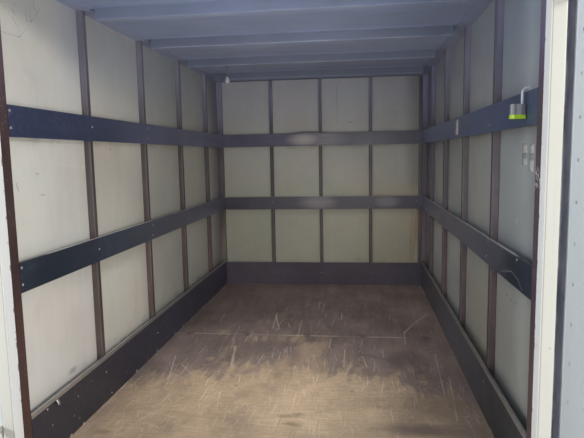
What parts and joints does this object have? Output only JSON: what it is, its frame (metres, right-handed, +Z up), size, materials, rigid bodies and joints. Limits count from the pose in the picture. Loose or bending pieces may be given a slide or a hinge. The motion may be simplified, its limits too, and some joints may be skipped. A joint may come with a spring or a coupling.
{
  "type": "cargo box body of a box truck",
  "caption": "Hollow cargo box body on its own subframe, with ribbed and boarded inner walls and a pair of hinged rear doors standing open.",
  "frame": {"origin": "centre of the bolt hole rectangle, on the underside of the subframe runners", "axes": "+X to the body's right, +Y to the front wall, +Z up; the rear doors face -Y"},
  "size_m": [1.8518, 3.934, 1.922],
  "materials": {
    "brown_primer": "flat red-brown primer, worn",
    "roof_lining": "matt dark grey",
    "board_black": "black film-faced plywood, scuffed",
    "cream_paint": "gloss cream, chipped",
    "wall_sheet": "satin pale grey, stained",
    "deck_plywood": "brown plywood, worn and scratched",
    "chassis_black": "black chassis paint",
    "bright_aluminium": "mill finish, dulled",
    "roof_paint": "gloss pale cream",
    "door_sheet": "satin pale blue-grey",
    "seal_rubber": "black, dusty",
    "zinc_steel": "zinc plated, dulled",
    "padlock_steel": "stacked steel plates on a lime green base"
  },
  "bodies": {
    "box": {"bottom_side_rails": "brown_primer", "cant_rails": "roof_lining", "cross_bearers": "chassis_black", "deck_front": "deck_plywood", "deck_rear": "deck_plywood", "edge_trims": "bright_aluminium", "frame_hinges": "cream_paint", "front_boards": "board_black", "front_bottom_rail": "brown_primer", "front_corner_posts": "brown_primer", "front_header": "roof_lining", "front_kick_board": "board_black", "front_posts": "brown_primer", "front_sheet": "wall_sheet", "kick_caps": "bright_aluminium", "lock_keepers": "cream_paint", "padlock_body": "padlock_steel", "padlock_shackle": "zinc_steel", "rear_corner_posts": "cream_paint", "rear_header": "cream_paint", "rear_inner_posts": "brown_primer", "rear_sill": "cream_paint", "roof_bows": "roof_lining", "roof_panel": "roof_lining", "roof_skin": "roof_paint", "runners": "chassis_black", "side_boards_left": "board_black", "side_boards_right": "board_black", "side_kick_boards": "board_black", "side_posts_left": "brown_primer", "side_posts_right": "brown_primer", "side_sheets_left": "wall_sheet", "side_sheets_right": "wall_sheet"},
    "door_right": {"door_right_edges": "bright_aluminium", "door_right_hinges": "cream_paint", "door_right_lock_rod": "zinc_steel", "door_right_panel": "door_sheet", "door_right_rod_guides": "zinc_steel", "door_right_seal": "seal_rubber"},
    "door_left": {"door_left_edges": "bright_aluminium", "door_left_hinges": "cream_paint", "door_left_lock_rod": "zinc_steel", "door_left_panel": "door_sheet", "door_left_rod_guides": "zinc_steel", "door_left_seal": "seal_rubber"}
  },
  "joints": [
    {"name": "door_right_hinge", "type": "hinge", "parent": "box", "child": "door_right", "pos_m": [0.893, -1.541, 0.998], "axis": [0, 0, 1], "range_deg": [-90, 175]},
    {"name": "door_left_hinge", "type": "hinge", "parent": "box", "child": "door_left", "pos_m": [-0.893, -1.541, 0.998], "axis": [0, 0, -1], "range_deg": [-90, 175]}
  ]
}
